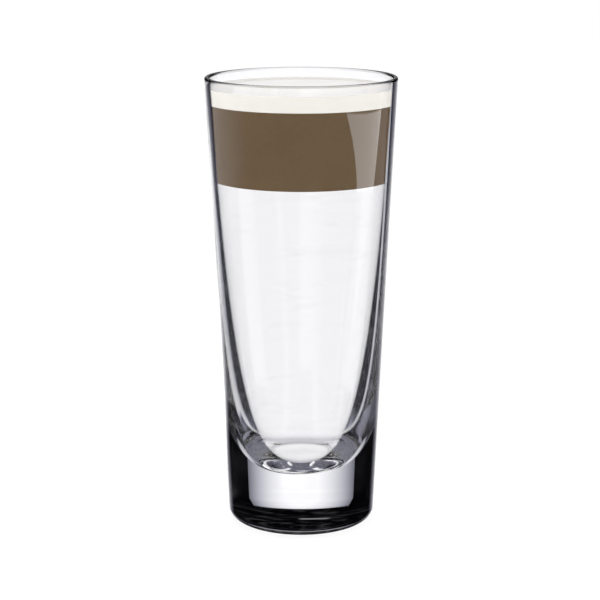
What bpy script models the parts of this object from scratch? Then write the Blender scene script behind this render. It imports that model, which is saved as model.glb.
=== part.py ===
"""A layered chocolate punch in a tall, heavy-based glass.

The glass is one turned solid: a slightly flared wall, a rounded drinking rim, a thick
solid base and a bore that narrows to a blunt round bottom. Three layers of drink fill
the bore, one on top of the other: a clear one, a chocolate one and a cream one.

Units are metres and +Z is up. The origin is the middle of the foot, on the table.
"""

import math

import bpy

# The outside of the glass.
HEIGHT = 0.1616
RIM_RADIUS = 0.034
FOOT_RADIUS = 0.02628  # where the wall meets the heel
WALL_FLARE = 0.0004  # how far the wall's upper half curves outwards from a straight taper
HEEL_WIDTH = 0.0066  # the oval rounding where the wall turns under the foot
HEEL_HEIGHT = 0.0047
PUNT_RADIUS = 0.0168  # the shallow hollow under the foot, which leaves a ring to stand on
PUNT_DEPTH = 0.0004
PUNT_SHOULDER = 0.0015  # width of the slope between the ring and the hollow

# The bore: a tapered line times a blunt curve that closes it at the bottom.
BASE_THICKNESS = 0.0202
BORE_RIM_RADIUS = 0.03234
BORE_TAPER = 0.00907  # how much narrower the tapered line is at the bore's bottom
BORE_CLOSING = 3.29  # a higher power keeps the bore wide further down
BORE_BLUNTNESS = 3.87  # a higher root makes the bottom flatter

# The heights of the drink's three layers, and the gap between touching solids.
CLEAR_TOP = 0.1255
CHOCOLATE_TOP = 0.1524
CREAM_TOP = 0.1575
MENISCUS_RISE = 0.0004  # the cream climbs the wall this far
MENISCUS_WIDTH = 0.0018
GAP = 0.0003

# How finely the round shapes are cut.
TURN_STEPS = 72
BORE_POINTS = 22
WALL_POINTS = 8
HEEL_POINTS = 6
RIM_POINTS = 6
SIDE_SPACING = 0.012  # the most height between two points on a layer's side


def clear_scene():
    """Remove whatever objects the file holds."""
    for old in list(bpy.data.objects):
        bpy.data.objects.remove(old, do_unlink=True)


def wall_radius(z):
    """Outer radius of the glass at height z, above the heel: a taper with a slight flare."""
    t = (z - HEEL_HEIGHT) / (HEIGHT - HEEL_HEIGHT)
    return FOOT_RADIUS + (RIM_RADIUS - FOOT_RADIUS - WALL_FLARE) * t + WALL_FLARE * t * t


def bore_radius(z):
    """Inner radius of the glass at height z: zero at the bore's bottom, widest at the rim."""
    s = min(max((z - BASE_THICKNESS) / (HEIGHT - BASE_THICKNESS), 0.0), 1.0)
    tapered = BORE_RIM_RADIUS - BORE_TAPER * (1.0 - s)
    return tapered * (1.0 - (1.0 - s) ** BORE_CLOSING) ** (1.0 / BORE_BLUNTNESS)


def spread(low, high, count, crowding=1.0):
    """count + 1 heights from low to high, closer together near low when crowding is over 1."""
    return [low + (high - low) * (i / count) ** crowding for i in range(count + 1)]


def bore_heights(low, high):
    """Heights for points along the bore, crowded where its bottom curves most."""
    return spread(low, high, BORE_POINTS, crowding=3.0)


def rim_arc(bore_end, wall_end):
    """Points of the rounded drinking rim, from the bore's last point to the wall's first."""
    centre = (bore_end + wall_end) / 2
    half = (wall_end - bore_end) / 2
    points = []
    for i in range(1, RIM_POINTS):
        angle = math.pi * (1.0 - i / RIM_POINTS)
        points.append((centre + half * math.cos(angle), HEIGHT - half + half * math.sin(angle)))
    return points


def heel_arc():
    """Points that turn the wall under the foot, from the wall to the standing ring."""
    centre = FOOT_RADIUS - HEEL_WIDTH
    points = []
    for i in range(1, HEEL_POINTS + 1):
        angle = -math.pi / 2 * i / HEEL_POINTS
        height = HEEL_HEIGHT * (1.0 + math.sin(angle))
        points.append((centre + HEEL_WIDTH * math.cos(angle), height))
    return points


def glass_profile():
    """(radius, height) points up the bore, over the rim, down the wall and under the foot."""
    lip = (wall_radius(HEIGHT) - bore_radius(HEIGHT)) / 2
    shoulder = HEIGHT - lip
    profile = [(bore_radius(z), z) for z in bore_heights(BASE_THICKNESS, shoulder)]
    profile += rim_arc(bore_radius(shoulder), wall_radius(shoulder))
    profile += [(wall_radius(z), z) for z in reversed(spread(HEEL_HEIGHT, shoulder, WALL_POINTS))]
    profile += heel_arc()
    profile += [(PUNT_RADIUS, 0.0), (PUNT_RADIUS - PUNT_SHOULDER, PUNT_DEPTH), (0.0, PUNT_DEPTH)]
    return profile


def layer_side(low, high):
    """(radius, height) points down a layer's side, a gap inside the bore."""
    count = max(1, math.ceil((high - low) / SIDE_SPACING))
    return [(bore_radius(z - GAP) - GAP, z) for z in reversed(spread(low, high, count))]


def bottom_layer_profile(top):
    """The lowest layer follows the bore to its bottom, a gap above and inside it."""
    low = BASE_THICKNESS + GAP
    side = [(max(bore_radius(z - GAP) - GAP, 0.0), z) for z in bore_heights(low, top)]
    return [(0.0, top)] + [point for point in reversed(side) if point[0] > 0.0] + [(0.0, low)]


def middle_layer_profile(low, high):
    """A flat disc of drink between two others."""
    return [(0.0, high)] + layer_side(low, high) + [(0.0, low)]


def top_layer_profile(low, high):
    """The top layer, whose surface climbs the wall in a small meniscus."""
    edge = bore_radius(high) - GAP
    meniscus = [(edge - MENISCUS_WIDTH, high), (edge - MENISCUS_WIDTH / 3, high + MENISCUS_RISE / 3)]
    return [(0.0, high)] + meniscus + layer_side(low, high + MENISCUS_RISE) + [(0.0, low)]


def make_material(name, colour, roughness, transmission=0.0, ior=1.45):
    """A Principled material of one colour."""
    material = bpy.data.materials.new(name)
    material.use_nodes = True
    shader = material.node_tree.nodes["Principled BSDF"]
    shader.inputs["Base Color"].default_value = (*colour, 1.0)
    shader.inputs["Roughness"].default_value = roughness
    shader.inputs["Metallic"].default_value = 0.0
    shader.inputs["Transmission Weight"].default_value = transmission
    shader.inputs["IOR"].default_value = ior
    return material


def turn(name, profile, material, collection):
    """One solid of revolution: the profile as an edge mesh, turned by a Screw modifier."""
    mesh = bpy.data.meshes.new(name)
    points = [(radius, 0.0, z) for radius, z in profile]
    edges = [(i, i + 1) for i in range(len(points) - 1)]
    mesh.from_pydata(points, edges, [])
    mesh.materials.append(material)
    turned = bpy.data.objects.new(name, mesh)
    collection.objects.link(turned)
    screw = turned.modifiers.new("turn", "SCREW")
    screw.axis = "Z"
    screw.angle = 2 * math.pi
    screw.steps = TURN_STEPS
    screw.render_steps = TURN_STEPS
    screw.use_merge_vertices = True
    screw.merge_threshold = 0.00001
    screw.use_smooth_shade = True
    return turned


def main():
    """Build the glass and its three layers of drink."""
    clear_scene()
    collection = bpy.data.collections.new("chocolate_punch")
    bpy.context.scene.collection.children.link(collection)

    clear_glass = make_material("clear_glass", (0.96, 0.97, 1.0), 0.0, transmission=1.0, ior=1.5)
    clear_drink = make_material("clear_drink", (0.95, 0.95, 0.96), 0.02, transmission=0.9, ior=1.34)
    chocolate = make_material("chocolate_drink", (0.141, 0.098, 0.061), 0.25)
    cream = make_material("cream_drink", (0.94, 0.91, 0.85), 0.35)

    turn("glass", glass_profile(), clear_glass, collection)
    turn("clear_layer", bottom_layer_profile(CLEAR_TOP - GAP / 2), clear_drink, collection)
    chocolate_span = (CLEAR_TOP + GAP / 2, CHOCOLATE_TOP - GAP / 2)
    turn("chocolate_layer", middle_layer_profile(*chocolate_span), chocolate, collection)
    cream_span = (CHOCOLATE_TOP + GAP / 2, CREAM_TOP)
    turn("cream_layer", top_layer_profile(*cream_span), cream, collection)


main()
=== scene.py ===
"""Looks for a layered chocolate punch in a heavy-based highball glass.

Every piece is a surface of revolution: a profile of (radius, height) points, worked out
with numpy, is carried round the z axis on a grid. Units are metres.
"""

import math
import bpy
import numpy as np
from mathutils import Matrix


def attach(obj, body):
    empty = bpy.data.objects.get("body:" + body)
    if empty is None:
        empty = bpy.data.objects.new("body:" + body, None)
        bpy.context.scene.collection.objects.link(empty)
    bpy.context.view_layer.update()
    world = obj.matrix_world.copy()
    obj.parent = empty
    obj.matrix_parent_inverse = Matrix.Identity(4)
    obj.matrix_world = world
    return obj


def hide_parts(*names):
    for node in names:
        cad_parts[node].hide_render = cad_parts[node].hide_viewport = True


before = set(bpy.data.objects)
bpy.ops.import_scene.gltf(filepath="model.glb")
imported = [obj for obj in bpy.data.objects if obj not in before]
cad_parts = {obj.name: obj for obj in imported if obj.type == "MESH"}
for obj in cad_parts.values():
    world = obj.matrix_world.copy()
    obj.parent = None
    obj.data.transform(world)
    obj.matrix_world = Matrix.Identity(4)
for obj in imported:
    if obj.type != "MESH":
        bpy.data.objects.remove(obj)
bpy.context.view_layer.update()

# The glass, as the solid has it.
HEIGHT = 0.1616
RIM_RADIUS = 0.034
FOOT_RADIUS = 0.02628  # where the wall meets the heel
WALL_FLARE = 0.0004
HEEL_WIDTH = 0.0066
HEEL_HEIGHT = 0.0047
PUNT_RADIUS = 0.0168
PUNT_DEPTH = 0.0004
BASE_THICKNESS = 0.0202
BORE_RIM_RADIUS = 0.03234
BORE_TAPER = 0.00907
BORE_CLOSING = 3.29
BORE_BLUNTNESS = 3.87

# The drink's levels, and how far each layer reaches into the glass wall.
CLEAR_TOP = 0.1255
CHOCOLATE_TOP = 0.1524
CREAM_TOP = 0.1575
MENISCUS_RISE = 0.0005
MENISCUS_WIDTH = 0.0024
MENISCUS_CURVE = 2.2  # the power with which the surface climbs the wall
REACH = 0.00006
LAYER_OVERLAP = 0.0001

# How finely the shapes are cut.
AROUND = 240  # steps round the axis
BORE_POINTS = 220
RIM_POINTS = 22
WALL_POINTS = 90
HEEL_POINTS = 20
PUNT_POINTS = 40
CLEAR_POINTS = 150  # along the clear layer's side
CHOCOLATE_POINTS = 24
CREAM_POINTS = 12
DISC_POINTS = 12  # from the axis to the edge of a flat face
SURFACE_STEPS = 23  # from the axis to the meniscus
MENISCUS_POINTS = 14
DRAFT_POINTS = 6000  # on a curve before its points are spaced evenly
DRAFT_CROWDING = 6  # the power that crowds them towards the bore's bottom
SHARP_ANGLE = math.radians(35.0)

# The camera that the photograph was taken with.
CAMERA_DISTANCE = 0.708
CAMERA_HEIGHT = 0.2353
CAMERA_PITCH = 0.2142
CAMERA_SHIFT = -0.002  # the glass stands a little right of the image's middle
CAMERA_LENS = 121.1
SENSOR_WIDTH = 36.0
CAMERA_CLIP = 0.01  # nothing nearer than this shows

# Looks.
GLASS_IOR = 1.505
WHITE = (1.0, 1.0, 1.0)
BROWN = (0.152, 0.1045, 0.0605)
IVORY = (0.955, 0.93, 0.87)
FALL_SINE = 0.208  # of 12 degrees, the fall of a ray in the photograph's view
FALL_COSINE = 0.978
FADE_FROM = 0.029  # the slant from which the painted fade through the base starts
FADE_RATE = 7.9
DARK_FROM = 0.1315  # the slant from which it meets the painted dark
FOOT_TILT = 0.80  # a face with more tilt than this is the foot
PAINTED_GLINT_BACK = 0.0117  # how far behind the foot's middle its painted glint lies
FLOOR_SIDE = 4.0
DEGREES = 180 / math.pi


# Profiles


def wall_radius(z):
    """Outer radius at height z: a straight taper from foot to rim plus a small flare, t squared."""
    t = (z - HEEL_HEIGHT) / (HEIGHT - HEEL_HEIGHT)
    return FOOT_RADIUS + (RIM_RADIUS - FOOT_RADIUS - WALL_FLARE) * t + WALL_FLARE * t * t


def bore_radius(z):
    """Bore radius at height z: a taper times a blunt curve, 1 - (1 - s)^a to the power 1/b."""
    s = np.clip((z - BASE_THICKNESS) / (HEIGHT - BASE_THICKNESS), 0.0, 1.0)
    tapered = BORE_RIM_RADIUS - BORE_TAPER * (1.0 - s)
    return tapered * (1.0 - (1.0 - s) ** BORE_CLOSING) ** (1.0 / BORE_BLUNTNESS)


def path(*pieces):
    """Several (radii, heights) pieces joined end to end, as one array of two columns."""
    return np.concatenate([np.column_stack(piece) for piece in pieces])


def rest_of(piece):
    """A piece without its first point, which the piece before it has already."""
    return [values[1:] for values in piece]


def evenly(points, count):
    """The same path with count points, evenly spaced along its length."""
    length = np.concatenate([[0.0], np.cumsum(np.hypot(*np.diff(points, axis=0).T))])
    at = np.linspace(0.0, length[-1], count)
    return np.column_stack([np.interp(at, length, points[:, i]) for i in range(2)])


def bore_curve(top, count):
    """The bore from its bottom centre up to height top, in evenly spaced points."""
    crowded = np.linspace(0.0, 1.0, DRAFT_POINTS) ** DRAFT_CROWDING
    z = BASE_THICKNESS + (top - BASE_THICKNESS) * crowded
    return evenly(path((bore_radius(z), z)), count)


def arc(centre, width, height, start, end, count):
    """Part of an oval in the profile's plane, from one angle to another."""
    angle = np.linspace(start, end, count)
    return centre[0] + width * np.cos(angle), centre[1] + height * np.sin(angle)


def flat(start, end, z):
    """A level line from one radius to another."""
    return np.linspace(start, end, DISC_POINTS), np.full(DISC_POINTS, z)


def glass_profile():
    """Up the bore, over the rounded rim, down the wall, round the heel and under the foot.

    The hollow under the foot is a shallow bowl: its height falls with the radius squared.
    """
    lip = (wall_radius(HEIGHT) - bore_radius(HEIGHT)) / 2
    shoulder = HEIGHT - lip
    bore = bore_curve(shoulder, BORE_POINTS)[:-1]
    inner, outer = bore_radius(shoulder), wall_radius(shoulder)
    half = (outer - inner) / 2
    rim = arc(((inner + outer) / 2, HEIGHT - half), half, half, math.pi, 0.0, RIM_POINTS)
    z = np.linspace(shoulder, HEEL_HEIGHT, WALL_POINTS)
    wall = (wall_radius(z), z)
    middle = (FOOT_RADIUS - HEEL_WIDTH, HEEL_HEIGHT)
    heel = arc(middle, HEEL_WIDTH, HEEL_HEIGHT, 0.0, -math.pi / 2, HEEL_POINTS)
    radius = np.linspace(PUNT_RADIUS, 0.0, PUNT_POINTS)
    hollow = (radius, PUNT_DEPTH * (1 - (radius / PUNT_RADIUS) ** 2))
    return path(bore.T, rim, rest_of(wall), rest_of(heel), hollow)


def layer_side(low, high, count):
    """Down a layer's side, reaching just into the glass wall."""
    z = np.linspace(high, low, count)
    return bore_radius(z) + REACH, z


def layer_top(level):
    """A layer's flat top: it overlaps the layer above by a narrow step, which stays hidden."""
    return flat(0.0, bore_radius(level) - LAYER_OVERLAP, level + LAYER_OVERLAP)


def layer_bottom(level):
    """A layer's flat underside, from the wall in to the axis."""
    return rest_of(flat(bore_radius(level) + REACH, 0.0, level))


# Meshes


def turned(name, profile, materials, slots):
    """A closed surface of revolution: every point of the profile, carried round the z axis.

    x = r cos a, y = r sin a. Points on the axis are one vertex each, with a fan round it.
    slots gives the material index of each step along the profile.
    """
    radius, height = profile.T
    rows = len(radius)
    angle = np.linspace(0.0, 2 * math.pi, AROUND, endpoint=False)
    ring = np.stack([np.outer(radius, np.cos(angle)), np.outer(radius, np.sin(angle)),
                     np.repeat(height[:, None], AROUND, axis=1)], axis=-1)
    inner = ring[1:-1].reshape(-1, 3)
    points = np.concatenate([[[0.0, 0.0, height[0]]], inner, [[0.0, 0.0, height[-1]]]])
    index = 1 + np.arange((rows - 2) * AROUND).reshape(rows - 2, AROUND)
    after = np.roll(index, -1, axis=1)
    quads = np.stack([index[:-1], index[1:], after[1:], after[:-1]], axis=-1).reshape(-1, 4)
    first = np.column_stack([np.zeros(AROUND, int), index[0], after[0]])
    last = np.column_stack([np.full(AROUND, len(points) - 1), after[-1], index[-1]])
    corners = np.concatenate([first.ravel(), quads.ravel(), last.ravel()])
    sizes = np.concatenate([np.full(AROUND, 3), np.full(len(quads), 4), np.full(AROUND, 3)])
    mesh = bpy.data.meshes.new(name)
    mesh.vertices.add(len(points))
    mesh.vertices.foreach_set("co", points.astype(np.float32).ravel())
    mesh.loops.add(len(corners))
    mesh.loops.foreach_set("vertex_index", corners.astype(np.int32))
    mesh.polygons.add(len(sizes))
    starts = np.concatenate([[0], np.cumsum(sizes)[:-1]])
    mesh.polygons.foreach_set("loop_start", starts.astype(np.int32))
    for material in materials:
        mesh.materials.append(material)
    per_face = np.repeat(np.asarray(slots, np.int32), AROUND)
    mesh.polygons.foreach_set("material_index", per_face)
    mesh.update(calc_edges=True)
    mesh.validate()
    mesh.shade_smooth()
    mesh.set_sharp_from_angle(angle=SHARP_ANGLE)
    made = bpy.data.objects.new(name, mesh)
    bpy.context.scene.collection.objects.link(made)
    return made


# Shader nodes as Python expressions


class Sock:
    """A node's output socket; arithmetic on it adds the Math nodes that work it out."""

    def __init__(self, tree, socket):
        self.tree, self.socket = tree, socket

    def maths(self, operation, *others, **settings):
        """A Math node on this socket and the others, in that order."""
        settings["operation"] = operation
        return add(self.tree, "ShaderNodeMath", settings, self, *others).out()

    def __add__(self, other):
        return self.maths("ADD", other)

    def __radd__(self, other):
        return self.maths("ADD", other)

    def __sub__(self, other):
        return self.maths("SUBTRACT", other)

    def __rsub__(self, other):
        return add(self.tree, "ShaderNodeMath", {"operation": "SUBTRACT"}, other, self).out()

    def __mul__(self, other):
        return self.maths("MULTIPLY", other)

    def __rmul__(self, other):
        return self.maths("MULTIPLY", other)

    def __truediv__(self, other):
        return self.maths("DIVIDE", other)

    def __pow__(self, other):
        return self.maths("POWER", other)

    def __gt__(self, other):
        return self.maths("GREATER_THAN", other)

    def __lt__(self, other):
        return self.maths("LESS_THAN", other)

    def __abs__(self):
        return self.maths("ABSOLUTE")

    def at_least(self, other):
        """The larger of two values."""
        return self.maths("MAXIMUM", other)

    def at_most(self, other):
        """The smaller of two values."""
        return self.maths("MINIMUM", other)

    def clamped(self):
        """The value, kept between 0 and 1."""
        return self.maths("ADD", 0.0, use_clamp=True)

    def between(self, low, high, to_low=0.0, to_high=1.0):
        """0 below low, 1 above high, smooth in between, or other ends; low may be over high."""
        settings = {"interpolation_type": "SMOOTHSTEP"}
        if low > high:
            low, high, to_low, to_high = high, low, to_high, to_low
        return add(self.tree, "ShaderNodeMapRange", settings, self, low, high, to_low, to_high).out()


class Node:
    """A node that has been added, with its outputs by name."""

    def __init__(self, tree, node):
        self.tree, self.node = tree, node

    def out(self, name=0):
        return Sock(self.tree, self.node.outputs[name])


def add(tree, kind, settings=None, *values, **named):
    """Add a node: its settings first, then its sockets' values or links, by place or by name."""
    node = tree.nodes.new(kind)
    for key, value in (settings or {}).items():
        setattr(node, key, value)
    sockets = list(enumerate(values)) + [(key.replace("_", " "), v) for key, v in named.items()]
    for key, value in sockets:
        if isinstance(value, Sock):
            tree.links.new(value.socket, node.inputs[key])
        else:
            node.inputs[key].default_value = value
    return Node(tree, node)


def over(value):
    """The value where it is over zero, and zero elsewhere."""
    return value.at_least(0.0)


def blend(a, b, share):
    """From value a to value b by a share: a + (b - a) share."""
    return a + (b - a) * share


def mixed(tree, factor, a, b):
    """Two colours or colour sockets mixed by a factor socket."""
    node = add(tree, "ShaderNodeMix", {"data_type": "RGBA"})
    for place, value in ((0, factor), (6, a), (7, b)):
        if isinstance(value, Sock):
            tree.links.new(value.socket, node.node.inputs[place])
        else:
            node.node.inputs[place].default_value = (*value, 1.0)
    return node.out(2)


def new_material(name):
    """An empty node material and its tree."""
    material = bpy.data.materials.new(name)
    material.use_nodes = True
    tree = material.node_tree
    tree.nodes.clear()
    return material, tree


def finish_material(tree, shader):
    """Link a shader to the material's output."""
    output = tree.nodes.new("ShaderNodeOutputMaterial")
    tree.links.new(shader.out().socket, output.inputs["Surface"])


# Glass


def polished_glass(tree, colour):
    """Clear glass with a polished face."""
    return add(tree, "ShaderNodeBsdfPrincipled", None, Base_Color=colour, Roughness=0.0,
               IOR=GLASS_IOR, Transmission_Weight=1.0)


def make_bore_glass():
    """The bore's face of the glass."""
    material, tree = new_material("bore_glass")
    finish_material(tree, polished_glass(tree, (*WHITE, 1.0)))
    return material


def painted_base_dark(in_base, facing, tilt, radius):
    """Where painted shade goes in the solid base: a painted fade for light that crosses it at a
    slant, and painted dark where it meets the dark.

    A solid cylinder of glass bends the view the more, the further from its middle it is seen,
    so the lit backdrop fades towards the base's sides and ends where the bend passes it.
    level: the cosine of a ray's slant to the wall, seen from above and freed of the heel's tilt,
    (1 - facing - 0.208 tilt) / sqrt(1 - tilt^2) / 0.978.
    aside: the ray's squared distance from the axis in wall radii, (r / R)^2 (1 - level^2).
    slant = 1 - 0.978 sqrt(1 - aside). It brings first the painted fade and then the painted dark,
    which every ray to the foot meets too.
    """
    level = (1.0 - facing - FALL_SINE * tilt) / (1.0 - tilt * tilt) ** 0.5 / FALL_COSINE
    narrowed = (radius / FOOT_RADIUS).at_most(1.0)
    aside = narrowed * narrowed * over(1.0 - level * level)
    slant = 1.0 - FALL_COSINE * (1.0 - aside) ** 0.5
    fading = in_base * ((slant - FADE_FROM) * FADE_RATE).clamped()
    beyond = in_base * (slant + (tilt > FOOT_TILT) > DARK_FROM)
    return fading, beyond


def painted_rim_dark(inside, facing, tilt, radius, height):
    """Painted dark on the rounded rim, where the glass would pick up the dark of the room.

    ends: nearly all of it on the rim's upright faces, where they are seen edge on.
    crown: half of it where the rim's top is seen edge on.
    inner: a fifth on the inner face and where light leaves the glass, unless seen face on.
    The outer upper edge has a quarter of it all round.
    """
    top = height.between(HEIGHT - 0.0016, HEIGHT - 0.0006)
    edge = height.between(HEIGHT - 0.0009, HEIGHT - 0.0005)
    outer = radius.between(RIM_RADIUS - 0.0010, RIM_RADIUS - 0.0007) * (1.0 - inside)
    ends = 0.93 * facing.between(0.45, 0.75) * tilt.between(0.90, 0.50)
    crown = 0.50 * facing.between(0.45, 0.85) * tilt.between(0.50, 0.90)
    inner = 0.20 * facing.between(0.0, 0.30) * (1.0 - outer)
    return 0.25 * edge * outer + top * (ends + crown + inner)


def painted_dark_colour(tree, place, x, y, height):
    """The colour of the painted dark, which is painted shade: near black, with grey painted light
    in drawn-out stripes and one short painted glint in the foot.

    The stripes keep a quarter of their strength above the foot. The glint is about 5 mm long
    and 3 mm deep.
    """
    drawn_out = add(tree, "ShaderNodeMapping", None, place, Scale=(260.0, 260.0, 40.0)).out()
    noise = add(tree, "ShaderNodeTexNoise", None, drawn_out, Scale=1.0, Detail=3.0).out("Fac")
    painted_streaks = noise.between(0.45, 0.70) * (0.25 + 0.75 * height.between(0.010, 0.004))
    painted_dark_tone = mixed(tree, painted_streaks, (0.001, 0.001, 0.0015), (0.040, 0.039, 0.042))
    # A painted glint: a small bright patch under the foot.
    along = x.between(-0.0008, 0.0004) * x.between(0.0056, 0.0044)
    deep = abs(y - PAINTED_GLINT_BACK).between(0.0022, 0.0006)
    painted_glint = along * deep * height.between(0.002, 0.001)
    return mixed(tree, painted_glint, painted_dark_tone, (0.34, 0.34, 0.35))


def make_clear_glass():
    """Polished glass with painted shade: a dark shader is mixed in at its base, at its rim and
    under its heel, where the glass would show the dark of the room.

    in_base: a ray inside the lowest 4 cm of the glass, bent once and not yet mirrored.
    """
    material, tree = new_material("clear_glass")
    place = add(tree, "ShaderNodeTexCoord").out("Object")
    spot = add(tree, "ShaderNodeSeparateXYZ", None, place)
    x, y, height = spot.out("X"), spot.out("Y"), spot.out("Z")
    radius = (x ** 2.0 + y ** 2.0) ** 0.5
    facing = add(tree, "ShaderNodeLayerWeight", None, 0.5).out("Facing")
    geometry = add(tree, "ShaderNodeNewGeometry")
    inside = geometry.out("Backfacing")
    tilt = abs(add(tree, "ShaderNodeSeparateXYZ", None, geometry.out("Normal")).out("Z"))
    light = add(tree, "ShaderNodeLightPath")
    bent_once = light.out("Transmission Depth") < 1.5
    straight = bent_once * (light.out("Glossy Depth") < 0.5) * (light.out("Diffuse Depth") < 0.5)
    in_base = inside * straight * height.between(0.045, 0.030)

    # Painted shade in the base: fading is a painted fade, beyond is a painted dark.
    fading, beyond = painted_base_dark(in_base, facing, tilt, radius)
    # lip: painted dark on the rim.
    lip = painted_rim_dark(inside, facing, tilt, radius, height)
    # under: painted dark on the outer faces below about 3 mm, round the heel and beneath it.
    under = 0.97 * height.between(0.0031, 0.0025) * (1.0 - inside)
    factor = fading.at_least(beyond).at_least(lip + under)
    # The glass turns lavender as the painted fade comes on: a painted tint.
    glass = polished_glass(tree, mixed(tree, fading, WHITE, (0.66, 0.68, 1.0)))
    # dark: the painted shade itself, a near black matt shader with painted light in it.
    dark = add(tree, "ShaderNodeBsdfPrincipled", None, Roughness=0.5, Specular_IOR_Level=0.0,
               Base_Color=painted_dark_colour(tree, place, x, y, height))
    shader = add(tree, "ShaderNodeMixShader", None, factor, glass.out(), dark.out())
    finish_material(tree, shader)
    return material


# Drink


def make_clear_drink():
    """A nearly colourless drink: see-through, with a faint milky veil and thin wavy bands of
    painted shade, where the glass wall's waviness would bend grey lines into view.
    """
    material, tree = new_material("clear_drink")
    clear = add(tree, "ShaderNodeBsdfTransparent", None, (*WHITE, 1.0))
    milky = add(tree, "ShaderNodeBsdfPrincipled", None, Base_Color=(0.80, 0.80, 0.82, 1.0),
                Roughness=0.6, Specular_IOR_Level=0.0)
    place = add(tree, "ShaderNodeTexCoord").out("Object")
    stretched = add(tree, "ShaderNodeMapping", None, place, Scale=(26.0, 26.0, 120.0)).out()
    # Painted shade: thin level bands of grey, drawn out round the glass.
    painted_wave_shade = add(tree, "ShaderNodeTexNoise", None, stretched, Scale=1.0, Detail=4.0,
                Roughness=0.55, Distortion=1.2).out("Fac")
    factor = painted_wave_shade.between(0.52, 0.72) * 0.05 + 0.01
    shader = add(tree, "ShaderNodeMixShader", None, factor, clear.out(), milky.out())
    finish_material(tree, shader)
    return material


def mottled(tree, colour, spread):
    """A drink's colour with fine and broad mottling, up to a share darker or lighter."""
    place = add(tree, "ShaderNodeTexCoord").out("Object")
    fine = add(tree, "ShaderNodeTexNoise", None, place, Scale=900.0, Detail=3.0).out("Fac")
    broad = add(tree, "ShaderNodeTexNoise", None, place, Scale=70.0, Detail=2.0).out("Fac")
    shade = (fine * 0.5 + broad * 0.5).between(0.3, 0.7)
    darker = tuple(value * (1 - spread) for value in colour)
    lighter = tuple(value * (1 + spread) for value in colour)
    return mixed(tree, shade, darker, lighter)


def make_drink_face(name, colour, spread, roughness):
    """An opaque drink's free surface, moist, with the soft bloom of fine froth."""
    material, tree = new_material(name)
    drink = add(tree, "ShaderNodeBsdfPrincipled", None, Base_Color=mottled(tree, colour, spread),
                Roughness=roughness, IOR=1.38, Sheen_Weight=0.25, Sheen_Roughness=0.5)
    finish_material(tree, drink)
    return material


def make_drink_by_glass(name, colour, spread):
    """An opaque drink against the glass. It mirrors what a dry wall would mirror at a slant."""
    material, tree = new_material(name)
    drink = add(tree, "ShaderNodeBsdfPrincipled", None, Base_Color=mottled(tree, colour, spread),
                Roughness=0.6, Specular_IOR_Level=0.0)
    mirror = add(tree, "ShaderNodeBsdfPrincipled", None, Base_Color=(*WHITE, 1.0),
                 Roughness=0.0, Metallic=1.0)
    slant = add(tree, "ShaderNodeFresnel", None, 1 / GLASS_IOR).out()
    dry = ((slant - 0.35) / 0.30).clamped()
    shader = add(tree, "ShaderNodeMixShader", None, dry, drink.out(), mirror.out())
    finish_material(tree, shader)
    return material


# The studio


def make_crinkle(tree, way_out):
    """Thin bright creases in the dark: the edges of cells in the direction of the light."""
    shifts = add(tree, "ShaderNodeTexNoise", None, way_out, Scale=9.0, Detail=3.0).out("Color")
    warped = add(tree, "ShaderNodeVectorMath", {"operation": "MULTIPLY_ADD"}, shifts,
                 (0.12, 0.12, 0.12), way_out)
    cells = {"feature": "DISTANCE_TO_EDGE"}
    edge = add(tree, "ShaderNodeTexVoronoi", cells, warped.out(), Scale=11.0)
    return edge.out("Distance").between(0.045, 0.01)


def panel_light(tree, way_out, crinkle, x, y, z):
    """What a ray finds that the wall has mirrored once and sent down.

    across: how far the ray leaves to the side of the nearest main direction, x or y.
    left_part: a lit sheet at the left, 1.1 - 2.6 (|across| - 0.19), without its low middle.
    left_end: it ends at -0.50, and nearer for rays that fall less than 0.28 or past 0.34.
    right_part: a stripe, whose middle bends from 0.345 by up^2 + 0.2 up, up being z + 0.6.
    broken: creases between the sheet and the stripe. table: patches of light on the table.
    """
    sideways = abs(x) > 2.2 * abs(y)
    to_side = -1.0 * y * ((x > 0.0) * 2.0 - 1.0)
    to_front = x * ((y > 0.0) * 2.0 - 1.0)
    across = blend(to_front, to_side, sideways)

    sheet = 1.1 - 2.6 * over(abs(across) - 0.19)
    left_end = -0.50 + 1.9 * over(z + 0.28) + 0.25 * over(-0.34 - z)
    left_part = sheet * (across - left_end).between(-0.045, 0.045) * across.between(0.10, -0.02)
    low_middle = across.between(-0.29, -0.25) * z.between(-0.60, -0.66)

    up = over(z + 0.6)
    stripe = 0.345 + up ** 2.0 + 0.2 * up
    right_part = 0.66 * abs(across - stripe).between(0.085, 0.03)
    gap = across.between(0.0, 0.10) * (stripe - across).between(0.06, 0.10)
    broken = 0.45 * crinkle * gap * z.between(-0.22, -0.30) * z.between(-0.75, -0.65)

    patches = add(tree, "ShaderNodeTexNoise", None, way_out, Scale=3.0, Detail=1.0).out("Fac")
    table = z.between(-0.62, -0.85) * (0.12 + 0.50 * patches.between(0.55, 0.70))
    return left_part * (1.0 - low_middle) + right_part + broken + table


def light_inside(panel, crinkle, crossed, mirrors, x, y, z):
    """What a ray finds that the glass has mirrored before it leaves.

    once: the panel below the horizon, a lit strip a little above it and a faint rest. Mirrored
    a second time, it keeps a quarter of its brightness.
    long_way: what is left after three mirrorings and more: grey from the fifth on, thin
    bright creases from the ninth on, and a little light on two sides for falling rays.
    A ray that has crossed the bore as well finds an even 0.86.
    """
    low_strip = 0.9 * z.between(0.0, 0.05) * z.between(0.30, 0.24)
    once = panel * z.between(0.03, -0.03) + low_strip + 0.03
    once = once * (1.0 - 0.75 * (mirrors > 1.5))
    grey = 0.14 * (mirrors > 4.5) * z.between(0.82, 0.72)
    glints = 0.24 * crinkle * z.between(0.45, 0.35)
    aslant = 0.15 * (x * y < 0.0) * z.between(-0.22, -0.27)
    long_way = aslant + blend(grey, glints, mirrors > 8.5)
    dry = blend(once, 0.1 * once + long_way, mirrors > 2.5)
    return blend(dry, 0.86, crossed)


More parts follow.
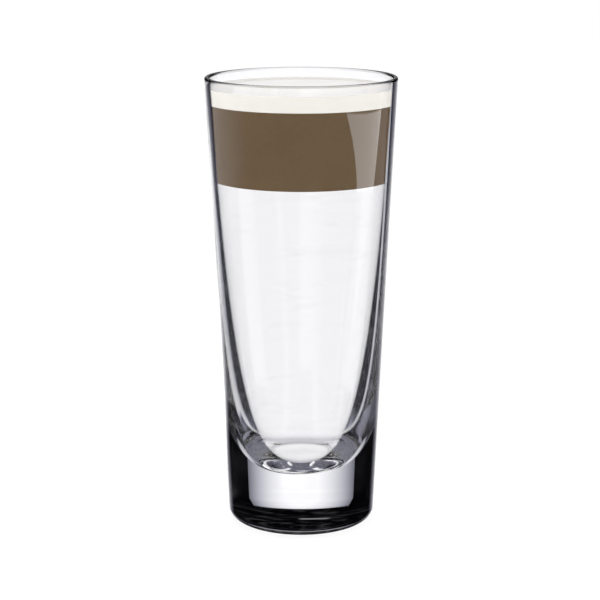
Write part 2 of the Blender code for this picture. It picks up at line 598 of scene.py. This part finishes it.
def soft_box(azimuth, rise):
    """A tall soft box at the right, between a back edge and a front edge that both bend.

    Its full light, 3.4, lies between two lines about 2 degrees apart, which rise a little
    towards its back edge. Above them it gives 0.2, and below them 0.18 of the full light.
    turn: degrees from a place just inside the front edge, towards the back edge.
    level: degrees over the upper line, rise + 11.6 - turn (0.00024 turn + 0.0335).
    """
    back_edge = 74.3 + over(-1.0 * rise - 12.5) * 5.6 - over(rise + 12.5) * 3.3
    front_edge = 106.3 + over(rise + 13.75) ** 2.0 * 7.3 + over(-1.0 * rise - 14.9) * 3.3
    width = (azimuth - back_edge).between(0.0, 1.5) * (front_edge - azimuth).between(0.0, 1.5)
    turn = 104.1 - azimuth
    level = rise + 11.6 - turn * (turn * 0.00024 + 0.0335)
    rows = level.between(0.06, -0.04, 0.2, 3.4) * level.between(-2.16, -2.04, 0.18, 1.0)
    return width * rows * rise.between(-36.0, -27.0)


def light_outside(x, y, z):
    """What the outer face mirrors. azimuth and rise give a ray's direction in degrees.

    azimuth starts behind the glass and is over zero at the right. There are a soft box, a
    glow at each side, the backdrop, 1 - 2.6 |x|^1.9, and a card at the backdrop's left,
    which shows two dimmer strips in its upper part. The left glow starts at -43 degrees,
    or further round for rays that fall more than 0.19, and fades out at -120.
    """
    rise = z.maths("ARCSINE") * DEGREES
    azimuth = x.maths("ARCTAN2", y) * DEGREES
    shallow = rise.between(-15.0, -12.5)
    right_glow = 0.4 * azimuth.between(49.0, 55.0) * azimuth.between(76.0, 70.0) * shallow
    glow_start = azimuth + 43.0 + over(-0.19 - z) * 280.0
    left_glow = 0.7 * azimuth.between(-120.0, -72.0) * glow_start.between(0.0, -5.0) * shallow

    strips = 0.5 * x.between(-0.70, -0.50) + 0.3 * x.between(-0.48, -0.36)
    full = x.between(-0.70, -0.42) * z.between(-0.20, -0.24)
    card = strips * z.between(-0.13, -0.17) + full
    card = card * x.between(0.0, -0.2) * z.between(-0.31, -0.27)
    backdrop = (over(1.0 - 2.6 * abs(x) ** 1.9) + card) * y.between(0.1, 0.6)
    return soft_box(azimuth, rise) + right_glow + left_glow + backdrop + 0.01


def make_world():
    """A white studio. The camera sees white. What the glass bends or mirrors is worked out.

    crossed: the ray has crossed the bore with few mirrorings and isn't sent steeply up.
    direct: what the glass only bends: a full white, darker for rays that fall steeply.
    Matt faces get a soft light of 1.8 - z. What is dark is a little blue. Counts of bends
    and of mirrorings are compared with halves.
    """
    world = bpy.data.worlds.new("studio")
    world.use_nodes = True
    tree = world.node_tree
    tree.nodes.clear()
    way_out = add(tree, "ShaderNodeTexCoord").out("Generated")
    way = add(tree, "ShaderNodeSeparateXYZ", None, way_out)
    x, y, z = way.out("X"), way.out("Y"), way.out("Z")
    light = add(tree, "ShaderNodeLightPath")
    bends, mirrors = light.out("Transmission Depth"), light.out("Glossy Depth")
    matt = light.out("Diffuse Depth") > 0.5

    crossed = (bends > 3.5) * (z < 0.8) * (mirrors < 6.5)
    crinkle = make_crinkle(tree, way_out)
    panel = panel_light(tree, way_out, crinkle, x, y, z)
    inside = light_inside(panel, crinkle, crossed, mirrors, x, y, z)
    direct = 1.05 - 0.06 * crossed - 0.3 * z.between(-0.72, -0.88)
    through = blend(direct, inside, mirrors > 0.5)
    seen = blend(light_outside(x, y, z), through, bends > 0.5)
    value = blend(seen, 1.80 - z, matt)

    tint = mixed(tree, value.between(0.95, 0.0), (1.0, 1.0, 1.02), (0.91, 0.90, 1.16))
    studio = add(tree, "ShaderNodeBackground", None, mixed(tree, matt, tint, WHITE), value)
    white = add(tree, "ShaderNodeBackground", None, (*WHITE, 1.0), 1.0)
    either = add(tree, "ShaderNodeMixShader", None, light.out("Is Camera Ray"),
                 studio.out(), white.out())
    output = tree.nodes.new("ShaderNodeOutputWorld")
    tree.links.new(either.out().socket, output.inputs["Surface"])
    bpy.context.scene.world = world


def make_floor_material():
    """A pale floor that glows a little, so that the glass's own shadow stays faint on it."""
    material, tree = new_material("pale_floor")
    matt = add(tree, "ShaderNodeBsdfDiffuse", None, (0.10, 0.10, 0.10, 1.0))
    glow = add(tree, "ShaderNodeEmission", None, (*WHITE, 1.0), 0.93)
    finish_material(tree, add(tree, "ShaderNodeAddShader", None, matt.out(), glow.out()))
    return material


def make_floor():
    """A plain pale square under the foot, which only the camera and matt faces see."""
    side = np.array([-FLOOR_SIDE / 2, FLOOR_SIDE / 2])
    x, y = np.meshgrid(side, side)
    points = np.column_stack([x.ravel(), y.ravel(), np.zeros(4)])
    mesh = bpy.data.meshes.new("floor")
    mesh.from_pydata(points.tolist(), [], [(0, 1, 3, 2)])
    mesh.materials.append(make_floor_material())
    floor = bpy.data.objects.new("floor", mesh)
    bpy.context.scene.collection.objects.link(floor)
    floor.visible_transmission = False
    floor.visible_glossy = False


def make_camera():
    """The photograph's camera: level with the front, looking down a little on the glass."""
    camera = bpy.data.objects.new("camera", bpy.data.cameras.new("camera"))
    camera.data.sensor_width = SENSOR_WIDTH
    camera.data.lens = CAMERA_LENS
    camera.data.clip_start = CAMERA_CLIP
    camera.data.shift_x = CAMERA_SHIFT
    camera.location = (0.0, -CAMERA_DISTANCE, CAMERA_HEIGHT)
    camera.rotation_euler = (math.pi / 2 - CAMERA_PITCH, 0.0, 0.0)
    bpy.context.scene.collection.objects.link(camera)
    bpy.context.scene.camera = camera


def set_looks():
    """Plain view colours, and enough bounces for light inside the glass."""
    scene = bpy.context.scene
    scene.view_settings.view_transform = "Standard"
    scene.cycles.max_bounces = 64
    scene.cycles.diffuse_bounces = 8
    scene.cycles.glossy_bounces = 60
    scene.cycles.transmission_bounces = 24
    scene.cycles.transparent_max_bounces = 24


# Pieces


def make_glass():
    """The whole glass, in one piece, with a material of its own in the bore."""
    profile = glass_profile()
    slots = np.zeros(len(profile) - 1, int)
    slots[:BORE_POINTS - 1] = 1
    glass = turned("turned_glass", profile, [make_clear_glass(), make_bore_glass()], slots)
    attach(glass, "root")
    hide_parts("glass")


def make_layer(name, node, parts, side, face):
    """A layer of drink from its top, side and bottom: one material at the side, one elsewhere."""
    top, middle, bottom = parts
    profile = path(top, middle, bottom)
    steps = len(profile) - 1
    slots = np.zeros(steps, int)
    slots[:len(top[0]) - 1] = 1
    slots[steps - len(bottom[0]):] = 1
    layer = turned(name, profile, [side, face], slots)
    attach(layer, "root")
    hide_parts(node)


def make_clear_layer():
    """The lowest layer, which follows the bore to its bottom."""
    drink = make_clear_drink()
    side = bore_curve(CLEAR_TOP, CLEAR_POINTS)[:0:-1] + [REACH, 0.0]
    bottom = ([0.0], [BASE_THICKNESS - REACH])
    make_layer("clear_punch", "clear_layer", (layer_top(CLEAR_TOP), side.T, bottom), drink, drink)


def make_chocolate_layer():
    """The brown band."""
    side = make_drink_by_glass("chocolate_by_glass", BROWN, 0.05)
    face = make_drink_face("chocolate_face", BROWN, 0.05, 0.15)
    middle = layer_side(CLEAR_TOP, CHOCOLATE_TOP, CHOCOLATE_POINTS)
    parts = (layer_top(CHOCOLATE_TOP), middle, layer_bottom(CLEAR_TOP))
    make_layer("chocolate_punch_band", "chocolate_layer", parts, side, face)


def make_cream_layer():
    """The ivory layer, whose surface climbs the wall with a power of the way to it."""
    side = make_drink_by_glass("cream_by_glass", IVORY, 0.01)
    face = make_drink_face("cream_face", IVORY, 0.02, 0.10)
    shore = bore_radius(CREAM_TOP) - MENISCUS_WIDTH
    calm = np.linspace(0.0, shore, SURFACE_STEPS, endpoint=False)
    run = np.linspace(0.0, MENISCUS_WIDTH, MENISCUS_POINTS)
    climb = MENISCUS_RISE * (run / MENISCUS_WIDTH) ** MENISCUS_CURVE
    top = (np.concatenate([calm, shore + run]),
           CREAM_TOP + np.concatenate([np.zeros(SURFACE_STEPS), climb]))
    middle = layer_side(CHOCOLATE_TOP, CREAM_TOP + MENISCUS_RISE, CREAM_POINTS)
    make_layer("cream_top", "cream_layer", (top, middle, layer_bottom(CHOCOLATE_TOP)), side, face)


set_looks()
make_world()
make_floor()
make_camera()
make_glass()
make_clear_layer()
make_chocolate_layer()
make_cream_layer()
